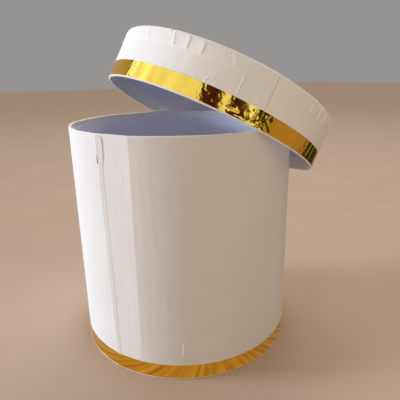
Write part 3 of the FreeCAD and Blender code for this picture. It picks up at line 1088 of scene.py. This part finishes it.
CAMERA_PLACE = Vector((-0.1492, -0.3109, 0.2228))
CAMERA_HEADING = math.radians(28.07)
CAMERA_PITCH = 17.44
CAMERA_ROLL = math.radians(-1.05)
CAMERA_LENS = 36.66
STUDIO_MIDDLE = Vector((0, 0, 0.15))
GRAIN_HEADING = math.radians(-8)
CLOUD_SIZE = 250


def heading_vector(relative, elevation):
    """A direction at an angle clockwise from the camera's heading and above the horizon, in degrees."""
    heading = CAMERA_HEADING + math.radians(relative)
    rise = math.radians(elevation)
    return Vector((math.sin(heading) * math.cos(rise), math.cos(heading) * math.cos(rise), math.sin(rise)))


def aim(thing, relative, elevation, distance):
    """Puts a card or a light that far from the box, facing it."""
    away = heading_vector(relative, elevation)
    thing.location = STUDIO_MIDDLE + away * distance
    thing.rotation_mode = "QUATERNION"
    thing.rotation_quaternion = away.to_track_quat("Z", "Y")


def make_camera():
    ahead = heading_vector(0, -CAMERA_PITCH)
    right = ahead.cross(Vector((0, 0, 1))).normalized()
    up = right.cross(ahead)
    right, up = (
        right * math.cos(CAMERA_ROLL) + up * math.sin(CAMERA_ROLL),
        up * math.cos(CAMERA_ROLL) - right * math.sin(CAMERA_ROLL),
    )
    data = bpy.data.cameras.new("camera")
    data.lens = CAMERA_LENS
    data.sensor_width = 36.0
    data.clip_start = 0.01
    camera = bpy.data.objects.new("camera", data)
    bpy.context.scene.collection.objects.link(camera)
    turn = Matrix((right, up, -ahead)).transposed().to_4x4()
    camera.matrix_world = Matrix.Translation(CAMERA_PLACE) @ turn
    bpy.context.scene.camera = camera


def make_floor():
    bpy.ops.mesh.primitive_grid_add(x_subdivisions=24, y_subdivisions=24, size=12)
    floor = bpy.context.object
    floor.name = "floor"
    floor.data.materials.append(floor_look())


def show_in_reflections_only(card):
    card.visible_camera = False
    card.visible_diffuse = False
    card.visible_shadow = False
    card.visible_transmission = False


def make_grain():
    """A streaked card on the floor, for the foils to mirror; the floor itself stays plain."""
    bpy.ops.mesh.primitive_plane_add(size=6)
    card = bpy.context.object
    card.name = "floor_grain"
    card.location = (0, 0, 0.5 * MM)
    card.data.materials.append(grain_look((0.60, 0.41, 0.28), (0.36, 0.215, 0.125), 0.9))
    show_in_reflections_only(card)


def make_panel(name, relative, elevation, distance, width, height, material):
    """A card, in metres, that faces the box and shows only in reflections."""
    bpy.ops.mesh.primitive_plane_add(size=1)
    card = bpy.context.object
    card.name = name
    card.scale = (width, height, 1)
    aim(card, relative, elevation, distance)
    card.data.materials.append(material)
    show_in_reflections_only(card)


def place_light(data, relative, elevation, distance, power, colour):
    """A light that faces the box and doesn't show in reflections."""
    data.energy = power
    data.color = colour
    light = bpy.data.objects.new(data.name, data)
    bpy.context.scene.collection.objects.link(light)
    aim(light, relative, elevation, distance)
    light.visible_glossy = False
    light.visible_camera = False
    return light


def make_soft_light(name, relative, elevation, distance, width, height, power, colour):
    """A rectangular light, in metres and watts."""
    data = bpy.data.lights.new(name, "AREA")
    data.shape = "RECTANGLE"
    data.size = width
    data.size_y = height
    return place_light(data, relative, elevation, distance, power, colour)


def make_far_light(name, relative, elevation, spread, power, colour):
    """A light from so far that it lights the whole floor evenly, from a disc that many degrees wide."""
    data = bpy.data.lights.new(name, "SUN")
    data.angle = math.radians(spread)
    return place_light(data, relative, elevation, 5, power, colour)


def light_only(light, names):
    """Keeps a light to some pieces."""
    lit = bpy.data.collections.new(light.name + "_pieces")
    for name in names:
        lit.objects.link(bpy.data.objects[name])
    light.light_linking.receiver_collection = lit


def make_world(light, shown):
    """Even warm light from all round; the camera sees a plain grey backdrop."""
    world = bpy.data.worlds.new("studio")
    world.use_nodes = True
    nodes, links = world.node_tree.nodes, world.node_tree.links
    background = nodes["Background"]
    background.inputs["Color"].default_value = (*light, 1)
    seen = nodes.new("ShaderNodeBackground")
    seen.inputs["Color"].default_value = (*shown, 1)
    choose = nodes.new("ShaderNodeMixShader")
    path = nodes.new("ShaderNodeLightPath")
    links.new(path.outputs["Is Camera Ray"], choose.inputs["Fac"])
    links.new(background.outputs["Background"], choose.inputs[1])
    links.new(seen.outputs["Background"], choose.inputs[2])
    links.new(choose.outputs["Shader"], nodes["World Output"].inputs["Surface"])
    bpy.context.scene.world = world


GLOWS = {
    # colour, strength and the share of its width over which a card fades out at each side
    "bright_wall": ((0.64, 0.72, 1.0), 1.6, 0.12),
    "window_glow": ((0.55, 0.62, 1.0), 2.9, 0.35),
    "dim_wall": ((1.0, 0.93, 0.8), 0.6, 0.2),
    "shaded_wall": ((1.0, 0.82, 0.62), 0.46, 0.1),
    "dark_red": ((1.0, 0.22, 0.08), 0.06, 0.1),
    "dark_green": ((0.8, 1.0, 0.3), 0.035, 0.1),
    "dark_brown": ((1.0, 0.5, 0.25), 0.05, 0.1),
}
PANELS = [
    # name, glow, angles from the camera's heading and the horizon, distance, width, height
    ("window_pane", "window_glow", -93, 30, 1.4, 0.28, 1.3),
    ("window_gap", "window_glow", -73, 30, 1.4, 0.17, 1.3),
    ("shade_left", "shaded_wall", -38, 25, 1.4, 0.9, 1.1),
    ("wall_left", "bright_wall", -93, 30, 1.55, 1.5, 1.5),
    ("wall_behind", "bright_wall", -150, 30, 1.5, 1.8, 1.5),
    ("wall_right", "bright_wall", 158, 28, 1.5, 1.0, 1.5),
    ("ceiling", "dark_brown", 178, 72, 1.2, 1.6, 0.7),
    ("wall_far", "dim_wall", 0, 25, 1.6, 1.8, 0.9),
    ("window_frame", "dark_green", -65.5, 28, 1.3, 0.12, 1.2),
    ("onlooker", "dark_red", -178, 22, 0.9, 0.3, 0.8),
    ("onlooker_arm", "dark_red", 158, 21, 0.9, 0.22, 0.5),
    ("plant_right", "dark_green", 134, 8, 0.9, 0.22, 0.5),
    ("plant_low", "dark_green", 67, -14, 0.42, 0.28, 0.16),
]
SKY = (0.69, 0.81, 0.98)


def make_lights():
    """The window's light, weaker ones from the room and from above, and one kept to the lid's paper."""
    pieces = [piece.name for piece in bpy.data.objects if piece.type == "MESH" and piece.name != "floor"]
    light_only(make_soft_light("window", -90, 6, 2.2, 1.0, 0.55, 57, SKY), pieces)
    light_only(make_far_light("window_on_floor", -90, 10, 20, 3.4, SKY), ["floor"])
    make_soft_light("room", 160, 50, 0.9, 0.5, 0.5, 0.8, (1.0, 0.92, 0.80))
    make_soft_light("high_window", 15, 62, 1.6, 0.8, 0.5, 7.0, (0.95, 0.95, 0.95))
    lid_fill = make_soft_light("lid_fill", 174, 15, 1.2, 0.6, 0.6, 1.5, (1.0, 0.9, 0.77))
    light_only(lid_fill, ["lid_side_cover_sheet", "lid_top_cover_sheet"])


def make_studio():
    make_camera()
    make_floor()
    make_grain()
    make_world((0.420, 0.355, 0.284), (0.30, 0.295, 0.285))
    make_lights()
    glows = {name: card_look(name, *glow) for name, glow in GLOWS.items()}
    for name, glow, *place in PANELS:
        make_panel(name, *place, glows[glow])
    bpy.context.scene.view_settings.view_transform = "Standard"


def make_pieces():
    looks = {
        "cover_paper": cover_paper_look(),
        "lining_paper": lining_paper_look(),
        "gilt_foil": gilt_foil_look(),
        "greyboard": greyboard_look(),
        "gummed_tape": gummed_tape_look(),
    }
    for make in (
        make_body_board,
        make_body_cover,
        make_base_cover,
        make_body_lining,
        make_base_lining,
        make_body_seam_tape,
        make_base_foil,
        make_lid_top_board,
        make_lid_top_cover,
        make_lid_side_cover,
        make_lid_skirt_lining,
        make_lid_top_lining,
        make_lid_foil,
    ):
        make(looks)
    paint_cad_nodes(looks)


make_pieces()
make_studio()
